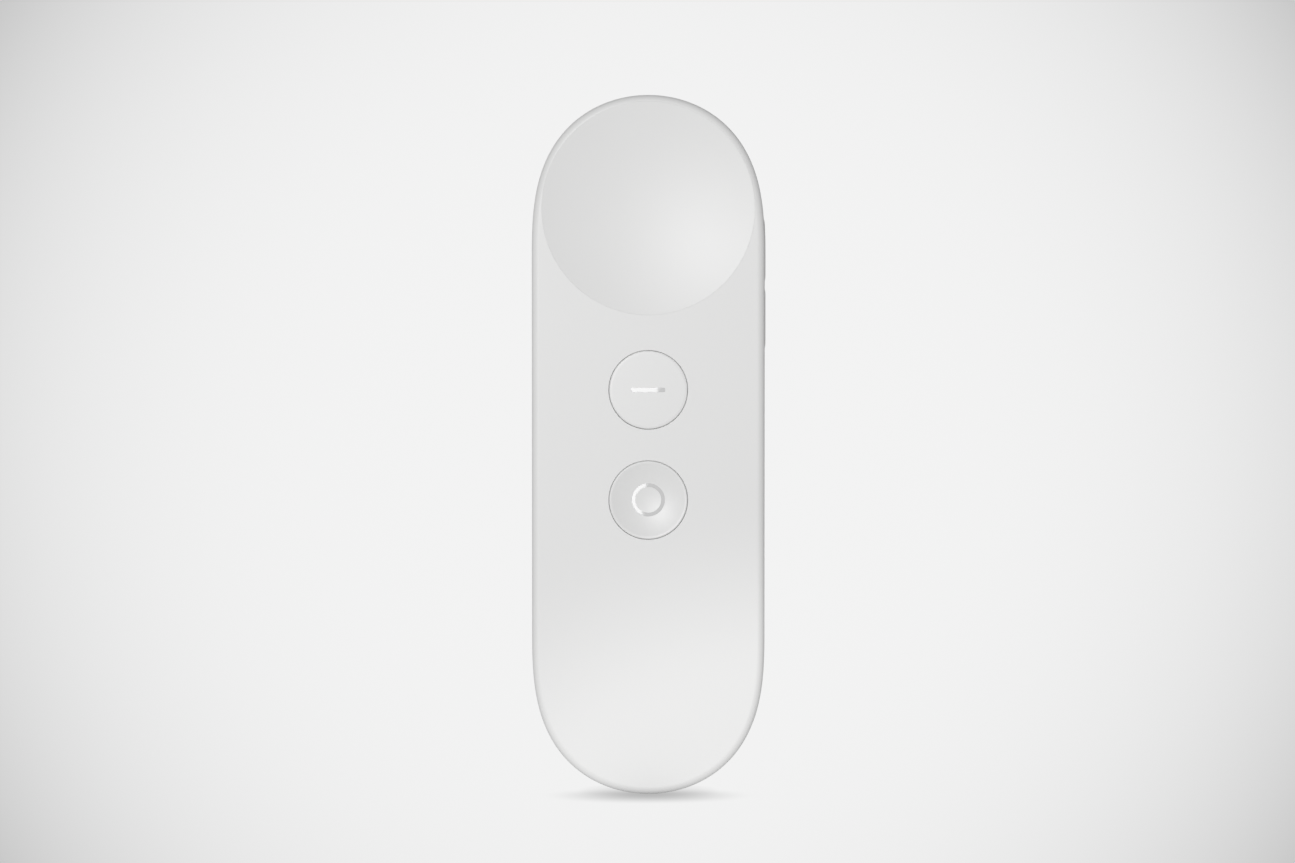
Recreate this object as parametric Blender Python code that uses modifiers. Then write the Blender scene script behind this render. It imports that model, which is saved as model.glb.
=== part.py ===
"""VR motion controller: a slim hand-held pointer with a dished touchpad, two face buttons and volume keys.

It stands upright: +Z runs along its length with the touchpad end up, the button face looks toward -Y,
and the volume keys are on the +X side. The origin is the centre of the flat land on the back.
Sizes are in millimetres. A place is given by its side offset x, its depth behind the button face and
its height z above the middle.
"""
import math

import bmesh
import bpy
from mathutils import Vector
from mathutils.geometry import interpolate_bezier

MM = 0.001

# Case: a long outline with straight sides and two rounded ends
LENGTH = 105.4
DEPTH = 16.9
HALF_WIDTH = 17.525
END_LENGTH = 25.0        # how far each rounded end reaches along the outline
END_POWER = 2.95         # fullness of the rounded ends
END_STEPS = 24
STRAIGHT = LENGTH / 2 - END_LENGTH
WALL = 1.5
FACE_FILLET = 1.1
SEAM = 6.5               # depth of the joint line between the two shells
SEAM_GAP = 0.15
BAND_END = 7.2           # depth at which the side band turns into the back
LAND = 0.3               # share of the width that the flat land on the back takes
BACK_POWER = 2.2
BACK_STEPS = 8

# Touchpad
PAD_HEIGHT = 35.7
PAD_RADIUS = 15.95
PAD_OPENING = 16.1
PAD_DISH = 1.6

# Face buttons
APP_HEIGHT = 8.4
HOME_HEIGHT = -8.2
BUTTON_RADIUS = 5.95
BUTTON_OPENING = 6.2
HOME_DISH = 1.0
STEM_RADIUS = 1.9

# Volume keys, as height ranges along the right side
UP_KEY = (24.25, 34.6)
DOWN_KEY = (14.15, 23.95)
KEY_RISE = 0.14
KEY_DEPTH = (2.45, 5.35)

# Main board and what stands on it
BOARD = (6.1, 6.9)
BOARD_INSET = 2.3
SWITCH_DEPTH = (4.5, 6.0)
SCREW_PLACES = [(-12.0, 9.0), (12.0, 9.0), (-10.5, -38.0), (10.5, -38.0)]
LED_HEIGHT = -31.0

# Charging port
PORT_SIZE = (8.94, 3.16)
PORT_RANGE = (-51.7, -44.3)
PORT_WALL = 0.3

FRONT = (math.radians(90), 0, 0)     # turns a piece's own +Z toward the button face
SIDE = (0, math.radians(90), 0)      # turns a piece's own +Z toward the volume keys

for old in list(bpy.data.objects):
    bpy.data.objects.remove(old, do_unlink=True)

PARTS = bpy.data.collections.new("vr_motion_controller")
CUTTERS = bpy.data.collections.new("cutters")
bpy.context.scene.collection.children.link(PARTS)
bpy.context.scene.collection.children.link(CUTTERS)

FINISH_VALUES = {
    # name: colour, roughness, metallic
    "white_plastic": ((0.80, 0.80, 0.80), 0.50, 0.0),
    "grey_plastic": ((0.22, 0.22, 0.23), 0.55, 0.0),
    "black_plastic": ((0.02, 0.02, 0.02), 0.45, 0.0),
    "clear_plastic": ((0.85, 0.87, 0.88), 0.15, 0.0),
    "board_laminate": ((0.01, 0.10, 0.06), 0.40, 0.0),
    "flex_film": ((0.45, 0.20, 0.03), 0.35, 0.0),
    "chip_epoxy": ((0.02, 0.02, 0.025), 0.60, 0.0),
    "steel": ((0.62, 0.62, 0.63), 0.30, 1.0),
    "battery_foil": ((0.55, 0.56, 0.58), 0.35, 0.6),
    "foam": ((0.03, 0.03, 0.03), 0.95, 0.0),
    "red_wire": ((0.45, 0.02, 0.02), 0.50, 0.0),
    "black_wire": ((0.01, 0.01, 0.01), 0.50, 0.0),
}


def make_finish(name):
    colour, roughness, metallic = FINISH_VALUES[name]
    finish = bpy.data.materials.new(name)
    finish.use_nodes = True
    shader = finish.node_tree.nodes["Principled BSDF"]
    shader.inputs["Base Color"].default_value = (*colour, 1.0)
    shader.inputs["Roughness"].default_value = roughness
    shader.inputs["Metallic"].default_value = metallic
    return finish


FINISHES = {name: make_finish(name) for name in FINISH_VALUES}


def place(x, depth, z):
    """The point at a side offset, a depth behind the button face and a height."""
    return Vector((x, depth - DEPTH, z)) * MM


def add_object(name, mesh, finish, holder=None):
    """Link a mesh as a part with a finish, or as a hidden cutter where finish is None."""
    obj = bpy.data.objects.new(name, mesh)
    if finish:
        mesh.materials.append(FINISHES[finish])
        PARTS.objects.link(obj)
    else:
        CUTTERS.objects.link(obj)
        obj.hide_render = True
        obj.display_type = "WIRE"
    obj.parent = holder
    return obj


def add_mesh(name, bm, finish, holder=None):
    bmesh.ops.recalc_face_normals(bm, faces=bm.faces)
    mesh = bpy.data.meshes.new(name)
    bm.to_mesh(mesh)
    bm.free()
    mesh.shade_smooth()
    mesh.set_sharp_from_angle(angle=math.radians(30))
    return add_object(name, mesh, finish, holder)


def add_holder(name):
    """An empty that carries the pieces which press in together."""
    holder = bpy.data.objects.new(name, None)
    PARTS.objects.link(holder)
    return holder


def loft(bm, rings):
    """Join rings of points, each with the same number of points, into bands of faces."""
    loops = [[bm.verts.new(point) for point in ring] for ring in rings]
    for lower, upper in zip(loops, loops[1:]):
        for i in range(len(lower)):
            j = (i + 1) % len(lower)
            bm.faces.new((lower[i], lower[j], upper[j], upper[i]))
    return loops


def prism(name, points, span, along, finish=None, holder=None):
    """An outline given its thickness along one direction: depth (x, z), height (x, depth) or side (depth, z)."""
    to_place = {
        "depth": lambda a, b, level: place(a, level, b),
        "height": lambda a, b, level: place(a, b, level),
        "side": lambda a, b, level: place(level, a, b),
    }[along]
    bm = bmesh.new()
    loops = loft(bm, [[to_place(a, b, level) for a, b in points] for level in span])
    for loop in loops:
        bm.faces.new(loop)
    return add_mesh(name, bm, finish, holder)


def block(name, x, depth, z, finish=None, holder=None, rounding=0.0):
    """A box between two values of x, depth and z, with rounded edges where asked."""
    low, high = place(x[0], depth[0], z[0]), place(x[1], depth[1], z[1])
    bm = bmesh.new()
    bmesh.ops.create_cube(bm, size=1.0)
    bmesh.ops.scale(bm, vec=high - low, verts=bm.verts)
    obj = add_mesh(name, bm, finish, holder)
    obj.location = (low + high) / 2
    if rounding:
        bevel = obj.modifiers.new("rounding", "BEVEL")
        bevel.width = rounding * MM
        bevel.segments = 2
    return obj


def turned(name, profile, origin, facing, finish=None, holder=None, sides=24):
    """Turn a profile of (radius, height) points, which runs down the outer side."""
    mesh = bpy.data.meshes.new(name)
    points = [(radius * MM, 0.0, height * MM) for radius, height in profile]
    mesh.from_pydata(points, [(i, i + 1) for i in range(len(points) - 1)], [])
    obj = add_object(name, mesh, finish, holder)
    obj.location = origin
    obj.rotation_euler = facing
    screw = obj.modifiers.new("turn", "SCREW")
    screw.steps = screw.render_steps = sides
    screw.use_merge_vertices = True
    screw.merge_threshold = 0.00001
    return obj


def rod(name, x, z, radius, depth, finish=None, holder=None, sides=24):
    """A plain round rod or drill that runs from one depth to another."""
    length = depth[1] - depth[0]
    profile = [(0, 0), (radius, 0), (radius, -length), (0, -length)]
    return turned(name, profile, place(x, depth[0], z), FRONT, finish, holder, sides)


def combine(target, tool, operation="DIFFERENCE"):
    modifier = target.modifiers.new(tool.name, "BOOLEAN")
    modifier.operation = operation
    modifier.object = tool
    modifier.solver = "EXACT"


def outline(inset=0.0, share=1.0):
    """Points (x, z) round the case, moved inwards by inset; share narrows it toward its middle line."""
    upper = []
    for i in range(END_STEPS + 1):
        turn = math.pi * i / END_STEPS
        x = share * HALF_WIDTH * math.cos(turn)
        end = END_LENGTH * (share * abs(math.sin(turn))) ** (2 / END_POWER)
        slope_x = 2 * x / HALF_WIDTH**2
        slope_z = END_POWER * end ** (END_POWER - 1) / END_LENGTH**END_POWER
        steep = math.hypot(slope_x, slope_z)
        upper.append((x - inset * slope_x / steep, STRAIGHT + end - inset * slope_z / steep))
    return upper + [(-x, -z) for x, z in upper]


def half_width(z):
    """Half the width of the case outline at a height."""
    end = max(abs(z) - STRAIGHT, 0.0)
    return HALF_WIDTH * math.sqrt(1 - (end / END_LENGTH) ** END_POWER)


def ring(depth, inset=0.0, share=1.0):
    return [place(x, depth, z) for x, z in outline(inset, share)]


def rounded_rectangle(width, height, radius, centre=(0.0, 0.0), steps=4):
    points = []
    for corner in range(4):
        middle = math.radians(45 + 90 * corner)
        across = math.copysign(width / 2 - radius, math.cos(middle))
        along = math.copysign(height / 2 - radius, math.sin(middle))
        for i in range(steps + 1):
            turn = math.radians(90 * corner + 90 * i / steps)
            points.append((centre[0] + across + radius * math.cos(turn),
                           centre[1] + along + radius * math.sin(turn)))
    return points


def crown(radius, centre, edge, steps=6):
    """A shallow domed or dished surface, from its centre height to its edge height."""
    return [(radius * i / steps, centre + (edge - centre) * (i / steps) ** 2) for i in range(steps + 1)]


def make_front_case():
    """The front shell is a tray: filleted button face, side band, bosses for the board and openings."""
    fillet = []
    for i in range(5):
        turn = math.radians(90 * i / 4)
        fillet.append(ring(FACE_FILLET * (1 - math.sin(turn)), FACE_FILLET * (1 - math.cos(turn))))
    rings = fillet[::-1] + [
        ring(SEAM - SEAM_GAP / 2),
        ring(SEAM - SEAM_GAP / 2, WALL),
        ring(WALL, WALL),
    ]
    bm = bmesh.new()
    loops = loft(bm, rings)
    bm.faces.new(loops[0])
    bm.faces.new(loops[-1])
    case = add_mesh("front_case", bm, "white_plastic")

    through = (-1.0, WALL + 0.1)
    combine(case, rod("pad_opening", 0, PAD_HEIGHT, PAD_OPENING, through, sides=72))
    for name, height in (("app", APP_HEIGHT), ("home", HOME_HEIGHT)):
        combine(case, rod(name + "_opening", 0, height, BUTTON_OPENING, through, sides=40))
    slot_heights = (DOWN_KEY[0] - 0.25, UP_KEY[1] + 0.25)
    slot_depth = (KEY_DEPTH[0] - 0.25, KEY_DEPTH[1] + 0.25)
    combine(case, block("key_slot", (HALF_WIDTH - 2.5, HALF_WIDTH + 1), slot_depth, slot_heights))
    combine(case, port_opening("front_port_opening"))
    combine(case, rod("light_pocket", 0, LED_HEIGHT, 1.4, (0.5, WALL + 0.1)))

    for number, (x, z) in enumerate(SCREW_PLACES, 1):
        boss = rod(f"boss_{number}", x, z, 2.2, (WALL - 0.5, BOARD[0] - 0.2))
        combine(case, boss, "UNION")
        combine(case, rod(f"pilot_{number}", x, z, 0.95, (2.3, BOARD[0])))
    for name, x in (("left", -8.0), ("right", 8.0)):
        post = rod(f"guide_post_{name}", x, (APP_HEIGHT + HOME_HEIGHT) / 2, 0.9, (WALL - 0.5, 3.0), sides=16)
        combine(case, post, "UNION")


def make_rear_case():
    """The rear shell is one domed skin with a flat land, and tongues that line it up with the front."""
    rings = [ring(SEAM + SEAM_GAP / 2), ring(BAND_END)]
    for i in range(1, BACK_STEPS + 1):
        turn = math.radians(90 * i / BACK_STEPS)
        share = LAND + (1 - LAND) * max(math.cos(turn), 0.0) ** (2 / BACK_POWER)
        rise = math.sin(turn) ** (2 / BACK_POWER)
        rings.append(ring(BAND_END + (DEPTH - BAND_END) * rise, share=share))
    bm = bmesh.new()
    loops = loft(bm, rings)
    bm.faces.new(loops[-1])
    case = add_mesh("rear_case", bm, "white_plastic")
    skin = case.modifiers.new("wall", "SOLIDIFY")
    skin.thickness = WALL * MM
    skin.offset = -1
    skin.use_even_offset = True

    combine(case, port_opening("rear_port_opening"))
    inner = HALF_WIDTH - WALL
    for side in (-1, 1):
        for level, z in (("middle", -4.0), ("lower", -26.0)):
            reach = sorted((side * (inner + 0.5), side * (inner - 1.1)))
            tongue = block(f"tongue_root_{side}_{level}", reach, (7.6, 10.0), (z - 3, z + 3))
            combine(case, tongue, "UNION")
            reach = sorted((side * (inner - 0.3), side * (inner - 1.1)))
            tongue = block(f"tongue_{side}_{level}", reach, (4.6, 9.0), (z - 3, z + 3))
            combine(case, tongue, "UNION")


def port_opening(name):
    gap = 0.3
    outline_points = rounded_rectangle(
        PORT_SIZE[0] + 2 * gap, PORT_SIZE[1] + 2 * gap, PORT_SIZE[1] / 2 + gap - 0.05, (0, SEAM))
    return prism(name, outline_points, (-LENGTH / 2 - 1, PORT_RANGE[1]), "height")


def make_touchpad():
    """The dished disc, its sensor board and the carrier plate press in together on the click switch."""
    pad = add_holder("touchpad_holder")
    centre = place(0, 0, PAD_HEIGHT)
    profile = crown(PAD_RADIUS - 0.1, -PAD_DISH, -0.02, 8) + [
        (PAD_RADIUS, -0.1), (PAD_RADIUS, -1.2), (14.0, -1.2), (14.0, -2.3), (0, -2.3)]
    turned("touchpad_disc", profile, centre, FRONT, "white_plastic", pad, sides=72)
    rod("touch_sensor_board", 0, PAD_HEIGHT, 13.0, (2.4, 3.0), "board_laminate", pad, sides=48)

    carrier = rod("touchpad_carrier", 0, PAD_HEIGHT, 13.6, (3.1, 3.7), "grey_plastic", pad, sides=48)
    tab = block("carrier_tab", (-11.0, 11.0), (3.1, 3.7), (PAD_HEIGHT - 17.4, PAD_HEIGHT - 5))
    combine(carrier, tab, "UNION")
    notch = block("carrier_notch", (-3.2, 3.2), (2.9, 3.9), (PAD_HEIGHT - 18, PAD_HEIGHT - 10.5))
    combine(carrier, notch)
    make_switch("touch", PAD_HEIGHT, pad, 3.8)

    bend = [(3.25, 24.6), (3.25, 22.6), (3.4, 21.6), (3.9, 20.6), (4.6, 19.6), (5.1, 18.8), (5.25, 18.0),
            (5.25, 17.0)]
    strip = bend + [(depth + 0.2, z - 0.1) for depth, z in reversed(bend)]
    prism("touch_flex", strip, (-2.5, 2.5), "side", "flex_film", pad)
    connector = block("flex_connector", (-3.6, 3.6), (4.8, 6.0), (15.9, 18.4), "black_plastic")
    combine(connector, block("flex_mouth", (-2.8, 2.8), (5.0, 5.85), (16.4, 19.0)))


def make_switch(name, height, holder, top):
    """A click switch on the board, and the plunger that the piece above it presses down."""
    body = block(name + "_switch", (-2.25, 2.25), SWITCH_DEPTH, (height - 2.25, height + 2.25),
                 "black_plastic", rounding=0.2)
    combine(body, rod(name + "_switch_well", 0, height, 1.35, (SWITCH_DEPTH[0] - 1, 5.6)))
    rod(name + "_plunger", 0, height, 1.1, (top, 5.0), "steel", holder, sides=20)


def make_button(name, height, centre, edge):
    """A round cap with a flange that holds it behind the face, and a stem down to its switch."""
    holder = add_holder(name + "_holder")
    profile = crown(BUTTON_RADIUS - 0.2, centre, edge) + [
        (BUTTON_RADIUS, edge - 0.2), (BUTTON_RADIUS, -1.8), (7.0, -1.8), (7.0, -2.5),
        (STEM_RADIUS, -2.5), (STEM_RADIUS, -3.9), (0, -3.9)]
    turned(name + "_button", profile, place(0, 0, height), FRONT, "white_plastic", holder, sides=40)
    make_switch(name, height, holder, 4.0)


def make_button_guide():
    plate = prism("button_guide", rounded_rectangle(18.4, 30.0, 2.0, (0, (APP_HEIGHT + HOME_HEIGHT) / 2)),
                  (3.1, 3.7), "depth", "grey_plastic")
    for height in (APP_HEIGHT, HOME_HEIGHT):
        combine(plate, rod(f"guide_hole_{height}", 0, height, STEM_RADIUS + 0.35, (2.5, 4.5)))


def key_strip(heights, outer, inner, roll=0.0, steps=8):
    """Outline (x, z) of a strip that follows the case side, with its outer ends rolled off."""
    low, high = heights
    levels = [low + (high - low) * i / steps for i in range(steps + 1)]
    if roll:
        levels = sorted(levels + [low + roll / 2, high - roll / 2])
    edge = []
    for z in levels:
        lift = outer
        if roll:
            near = min(z - low, high - z, roll) / roll
            lift = outer - 0.3 * (1 - near) ** 2
        edge.append((half_width(z) + lift, z))
    return edge + [(half_width(z) + inner, z) for z in reversed(levels)]


def make_volume_key(name, heights, flange_heights):
    """A low key with a flange behind the wall and a nib that presses its side switch."""
    holder = add_holder(name + "_holder")
    middle = (heights[0] + heights[1]) / 2
    key = prism(name + "_key", key_strip(heights, KEY_RISE, -2.2, roll=1.2), KEY_DEPTH, "depth",
                "white_plastic", holder)
    flange = prism(name + "_flange", key_strip(flange_heights, -1.85, -2.45), (1.95, 5.75), "depth")
    combine(key, flange, "UNION")
    nib = block(name + "_nib", (14.6, 15.3), (4.6, 5.6), (middle - 1.2, middle + 1.2))
    combine(key, nib, "UNION")

    body = block(name + "_switch", (11.3, 14.0), (4.3, 6.0), (middle - 2.3, middle + 2.3),
                 "black_plastic")
    well = [(0, 2), (0.75, 2), (0.75, -1.1), (0, -1.1)]
    combine(body, turned(name + "_well", well, place(14.0, 5.15, middle), SIDE, sides=16))
    plunger = [(0, 0.5), (0.6, 0.5), (0.6, -0.6), (0, -0.6)]
    turned(name + "_plunger", plunger, place(14.0, 5.15, middle), SIDE, "steel", holder, sides=16)


def make_main_board():
    """The main board fills the case outline, with holes for its screws and a bay for the port."""
    board = prism("main_board", outline(BOARD_INSET), BOARD, "depth", "board_laminate")
    combine(board, block("port_bay", (-5.0, 5.0), (5.5, 7.5), (-LENGTH / 2, PORT_RANGE[1] + 0.4)))
    for side in (-1, 1):
        for level, z in (("middle", -4.0), ("lower", -26.0)):
            reach = sorted((side * 14.4, side * 16.0))
            combine(board, block(f"tongue_bay_{side}_{level}", reach, (5.5, 7.5), (z - 3.4, z + 3.4)))
    for number, (x, z) in enumerate(SCREW_PLACES, 1):
        combine(board, rod(f"board_hole_{number}", x, z, 0.95, (5.5, 7.5)))
        shank, head = 0.65, 1.5
        profile = [(0, 0), (head - 0.3, 0), (head, -0.3), (head, -0.9), (shank, -0.9), (shank, -4.6),
                   (0, -5.0)]
        turned(f"board_screw_{number}", profile, place(x, BOARD[1] + 1.0, z), (-FRONT[0], 0, 0),
               "steel", sides=16)


def make_board_parts():
    """Chips, radio shield and antenna on the back of the board, and the status light on its front."""
    back = BOARD[1] + 0.1
    can = block("shield_can", (-8.5, 8.5), (back, back + 2.2), (15.0, 31.0), "steel")
    combine(can, block("can_inside", (-8.2, 8.2), (back - 1, back + 1.9), (15.3, 30.7)))
    chips = {
        # name: centre x, centre z, width, height, thickness
        "radio_chip": (-2.5, 24.0, 6.0, 6.0, 0.9),
        "motion_sensor": (-8.0, 6.0, 3.0, 3.0, 0.9),
        "magnetometer": (9.0, 37.0, 2.0, 2.0, 0.8),
        "charger_chip": (-5.5, -41.0, 3.0, 3.0, 0.8),
    }
    for name, (x, z, width, height, thick) in chips.items():
        block(name, (x - width / 2, x + width / 2), (back, back + thick), (z - height / 2, z + height / 2),
              "chip_epoxy")
    block("crystal", (4.0, 6.5), (back, back + 0.7), (23.0, 25.0), "steel")
    strip = [(back, 46.4), (back, 44.6), (back + 0.3, 44.6), (back + 0.3, 46.1), (back + 2.5, 46.1),
             (back + 2.5, 46.4)]
    prism("antenna", strip, (-5.0, 5.0), "side", "steel")
    block("status_led", (-0.8, 0.8), (5.3, 6.0), (LED_HEIGHT - 0.8, LED_HEIGHT + 0.8), "clear_plastic")
    rod("light_pipe", 0, LED_HEIGHT, 1.1, (0.8, 5.0), "clear_plastic", sides=20)


def make_battery():
    """The pouch cell lies in a tray behind the board; two leads go up to a plug on the board."""
    tray = block("battery_tray", (-11.0, 11.0), (7.1, 12.0), (-36.5, -4.0), "grey_plastic")
    combine(tray, block("chip_side", (-10.2, 10.2), (6.0, 8.5), (-35.7, -4.8)))
    combine(tray, block("cell_side", (-10.2, 10.2), (9.1, 13.0), (-35.7, -4.8)))
    combine(tray, block("lead_gate", (-4.5, 4.5), (9.3, 13.0), (-6.0, -3.0)))
    block("battery_cell", (-9.5, 9.5), (9.3, 14.2), (-35.2, -6.8), "battery_foil", rounding=0.9)
    block("battery_foam", (-6.5, 6.5), (14.35, 14.95), (-32.0, -10.0), "foam")

    back = BOARD[1] + 0.1
    socket = block("battery_socket", (-2.6, 2.6), (back, back + 2.2), (1.4, 4.6), "white_plastic")
    combine(socket, block("socket_mouth", (-2.1, 2.1), (back + 0.4, back + 1.8), (0.5, 3.6)))
    block("battery_plug", (-1.8, 1.8), (back + 0.65, back + 1.55), (-0.8, 3.2), "white_plastic")
    for name, side in (("red", -1), ("black", 1)):
        start = place(side * 2.6, 10.8, -6.5)
        end = place(side * 0.9, back + 1.1, -1.1)
        route = interpolate_bezier(
            start, start + Vector((0, 0, 3.2)) * MM, end + Vector((0, 0, -3.0)) * MM, end, 9)
        curve = bpy.data.curves.new(f"battery_lead_{name}", "CURVE")
        curve.dimensions = "3D"
        curve.bevel_depth = 0.4 * MM
        curve.bevel_resolution = 2
        curve.use_fill_caps = True
        spline = curve.splines.new("POLY")
        spline.points.add(len(route) - 1)
        for point, spot in zip(spline.points, route):
            point.co = (*spot, 1.0)
        add_object(curve.name, curve, name + "_wire")


def make_port():
    """Reversible charging port: a folded steel shell with a flat tongue inside."""
    shell = prism("usb_shell", rounded_rectangle(*PORT_SIZE, PORT_SIZE[1] / 2 - 0.05, (0, SEAM)),
                  PORT_RANGE, "height", "steel")
    inside = rounded_rectangle(PORT_SIZE[0] - 2 * PORT_WALL, PORT_SIZE[1] - 2 * PORT_WALL,
                               PORT_SIZE[1] / 2 - PORT_WALL - 0.05, (0, SEAM))
    combine(shell, prism("port_inside", inside, (PORT_RANGE[0] - 1, PORT_RANGE[1] - PORT_WALL), "height"))
    block("usb_tongue", (-3.35, 3.35), (SEAM - 0.35, SEAM + 0.35), (PORT_RANGE[0] + 1.2, PORT_RANGE[1] - 0.4),
          "black_plastic")


make_front_case()
make_rear_case()
make_touchpad()
make_button("app", APP_HEIGHT, 0.0, -0.05)
make_button("home", HOME_HEIGHT, -HOME_DISH, -0.02)
make_button_guide()
make_volume_key("volume_up", UP_KEY, (UP_KEY[0], UP_KEY[1] + 0.7))
make_volume_key("volume_down", DOWN_KEY, (DOWN_KEY[0] - 0.7, DOWN_KEY[1]))
make_main_board()
make_board_parts()
make_battery()
make_port()
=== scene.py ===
import math

import bmesh
import bpy
from mathutils import Matrix, Vector


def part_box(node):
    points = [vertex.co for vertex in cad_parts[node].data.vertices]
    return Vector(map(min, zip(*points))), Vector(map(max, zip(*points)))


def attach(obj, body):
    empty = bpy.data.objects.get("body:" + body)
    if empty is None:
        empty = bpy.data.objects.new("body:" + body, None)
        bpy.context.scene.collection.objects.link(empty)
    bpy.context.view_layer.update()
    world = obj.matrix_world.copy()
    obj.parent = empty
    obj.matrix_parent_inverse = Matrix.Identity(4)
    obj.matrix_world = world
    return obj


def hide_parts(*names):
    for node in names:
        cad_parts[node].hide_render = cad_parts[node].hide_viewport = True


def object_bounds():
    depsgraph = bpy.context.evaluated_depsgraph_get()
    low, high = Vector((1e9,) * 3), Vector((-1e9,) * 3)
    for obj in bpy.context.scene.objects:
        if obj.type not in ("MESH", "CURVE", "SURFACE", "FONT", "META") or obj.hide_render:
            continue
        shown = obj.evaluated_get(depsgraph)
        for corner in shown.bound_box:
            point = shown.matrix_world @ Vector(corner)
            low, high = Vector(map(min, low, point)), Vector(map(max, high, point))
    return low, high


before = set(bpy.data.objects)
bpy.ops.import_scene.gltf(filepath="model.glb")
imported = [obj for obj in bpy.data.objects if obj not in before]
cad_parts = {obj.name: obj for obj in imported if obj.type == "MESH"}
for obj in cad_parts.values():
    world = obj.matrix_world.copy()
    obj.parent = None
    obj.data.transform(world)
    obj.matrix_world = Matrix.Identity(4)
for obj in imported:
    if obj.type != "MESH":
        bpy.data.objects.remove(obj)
cad_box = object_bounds()

MM = 0.001
scene = bpy.context.scene


# ---- Case shells ----
# Two moulded shells of white, finely textured plastic meet at a line round the side. The front one
# has the flat button face, its openings and bosses for the board's screws. The back one is domed,
# ends in a flat land, and lines up with the front one by four tongues inside.
FACE_Y = cad_box[0].y
DEPTH = -FACE_Y
HALF_WIDTH = -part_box("front_case")[0].x
HALF_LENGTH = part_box("front_case")[1].z
END_LENGTH = 25.0 * MM
END_POWER = 2.95
STRAIGHT = HALF_LENGTH - END_LENGTH
WALL = 1.5 * MM
FACE_FILLET = 1.1 * MM
FLAT_STRIP = 0.05 * MM
SEAM = 6.5 * MM
SEAM_HALF = 0.05 * MM
SEAM_EDGE = 0.08 * MM
SEAM_STEP = 0.7 * MM
STEP_DEPTH = 1.1 * MM
BAND_END = 7.2 * MM
LAND = 0.3
LAND_RING = 0.97
BACK_POWER = 2.2
BACK_STEPS = 30
CASE_SEGMENTS = 200
FACING = Vector((0, -1, 0))


def add_piece(name, bm, body, material, node=None, sharp=30):
    """Make a finished mesh a piece that rides on a body, and may stand for a CAD node."""
    mesh = bpy.data.meshes.new(name)
    bm.to_mesh(mesh)
    bm.free()
    mesh.shade_smooth()
    mesh.set_sharp_from_angle(angle=math.radians(sharp))
    mesh.materials.append(material)
    piece = bpy.data.objects.new(name, mesh)
    scene.collection.objects.link(piece)
    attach(piece, body)
    if node:
        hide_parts(node)
    return piece


def arc(radius, steps):
    """How far out and how far down a rounded edge goes, from its flat side to its steep side."""
    turns = [math.radians(90) * step / steps for step in range(steps + 1)]
    return [(radius * math.sin(turn), radius * (1 - math.cos(turn))) for turn in turns]


def crown(radius, centre, edge, steps=24):
    """A shallow dished or domed top, as (radius, height) from its middle to its edge."""
    return [(radius * i / steps, centre + (edge - centre) * (i / steps) ** 2) for i in range(steps + 1)]


def spin_profile(profile, centre, axis=FACING, steps=128):
    """Turn a profile of (radius, height) about an axis through a point."""
    bm = bmesh.new()
    side = axis.orthogonal().normalized()
    verts = [bm.verts.new(centre + side * radius + axis * height) for radius, height in profile]
    edges = [bm.edges.new(pair) for pair in zip(verts, verts[1:])]
    bmesh.ops.spin(bm, geom=verts + edges, cent=centre, axis=axis, angle=math.radians(360),
                   steps=steps, use_merge=True)
    bmesh.ops.remove_doubles(bm, verts=bm.verts, dist=0.000001)
    bmesh.ops.recalc_face_normals(bm, faces=bm.faces)
    return bm


def block(low, high, edge=0.0, segments=3, along=None):
    """A block between two corners. Its edges are rounded: all of them, or those along one axis."""
    bm = bmesh.new()
    low, high = Vector(low), Vector(high)
    bmesh.ops.create_cube(bm, size=1.0)
    bmesh.ops.scale(bm, vec=high - low, verts=bm.verts)
    bmesh.ops.translate(bm, vec=(low + high) / 2, verts=bm.verts)
    if edge:
        rounded = bm.edges[:]
        if along:
            rounded = [e for e in rounded
                       if abs((e.verts[0].co - e.verts[1].co).normalized().dot(along)) > 0.99]
        bmesh.ops.bevel(bm, geom=rounded, offset=edge, offset_type="OFFSET", affect="EDGES",
                        segments=segments, profile=0.5, material=-1)
    return bm


def combine(body, tools, operation="DIFFERENCE"):
    """Cut the tools out of a body, or join them to it, one after another."""
    for tool in tools:
        pair = []
        for bm in (body, tool):
            mesh = bpy.data.meshes.new("cut")
            bm.to_mesh(mesh)
            bm.free()
            pair.append(bpy.data.objects.new("cut", mesh))
            scene.collection.objects.link(pair[-1])
        cut = pair[0].modifiers.new("cut", "BOOLEAN")
        cut.operation = operation
        cut.object = pair[1]
        cut.solver = "EXACT"
        body = bmesh.new()
        body.from_object(pair[0], bpy.context.evaluated_depsgraph_get())
        for made in pair:
            mesh = made.data
            bpy.data.objects.remove(made)
            bpy.data.meshes.remove(mesh)
    return body


def gather(parts):
    """Several closed meshes as one, each left as it is."""
    whole = bmesh.new()
    for part in parts:
        mesh = bpy.data.meshes.new("part")
        part.to_mesh(mesh)
        part.free()
        whole.from_mesh(mesh)
        bpy.data.meshes.remove(mesh)
    return whole


def outline_point(turn, inset=0.0, share=1.0):
    """A point (x, z) of the case outline at a turn round it, moved inwards by inset."""
    x = share * HALF_WIDTH * math.cos(turn)
    end = END_LENGTH * (share * abs(math.sin(turn))) ** (2 / END_POWER)
    slope_x = 2 * x / HALF_WIDTH**2
    slope_z = END_POWER * end ** (END_POWER - 1) / END_LENGTH**END_POWER
    steep = math.hypot(slope_x, slope_z)
    z = STRAIGHT + end - inset * slope_z / steep
    return x - inset * slope_x / steep, math.copysign(z, math.sin(turn))


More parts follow.
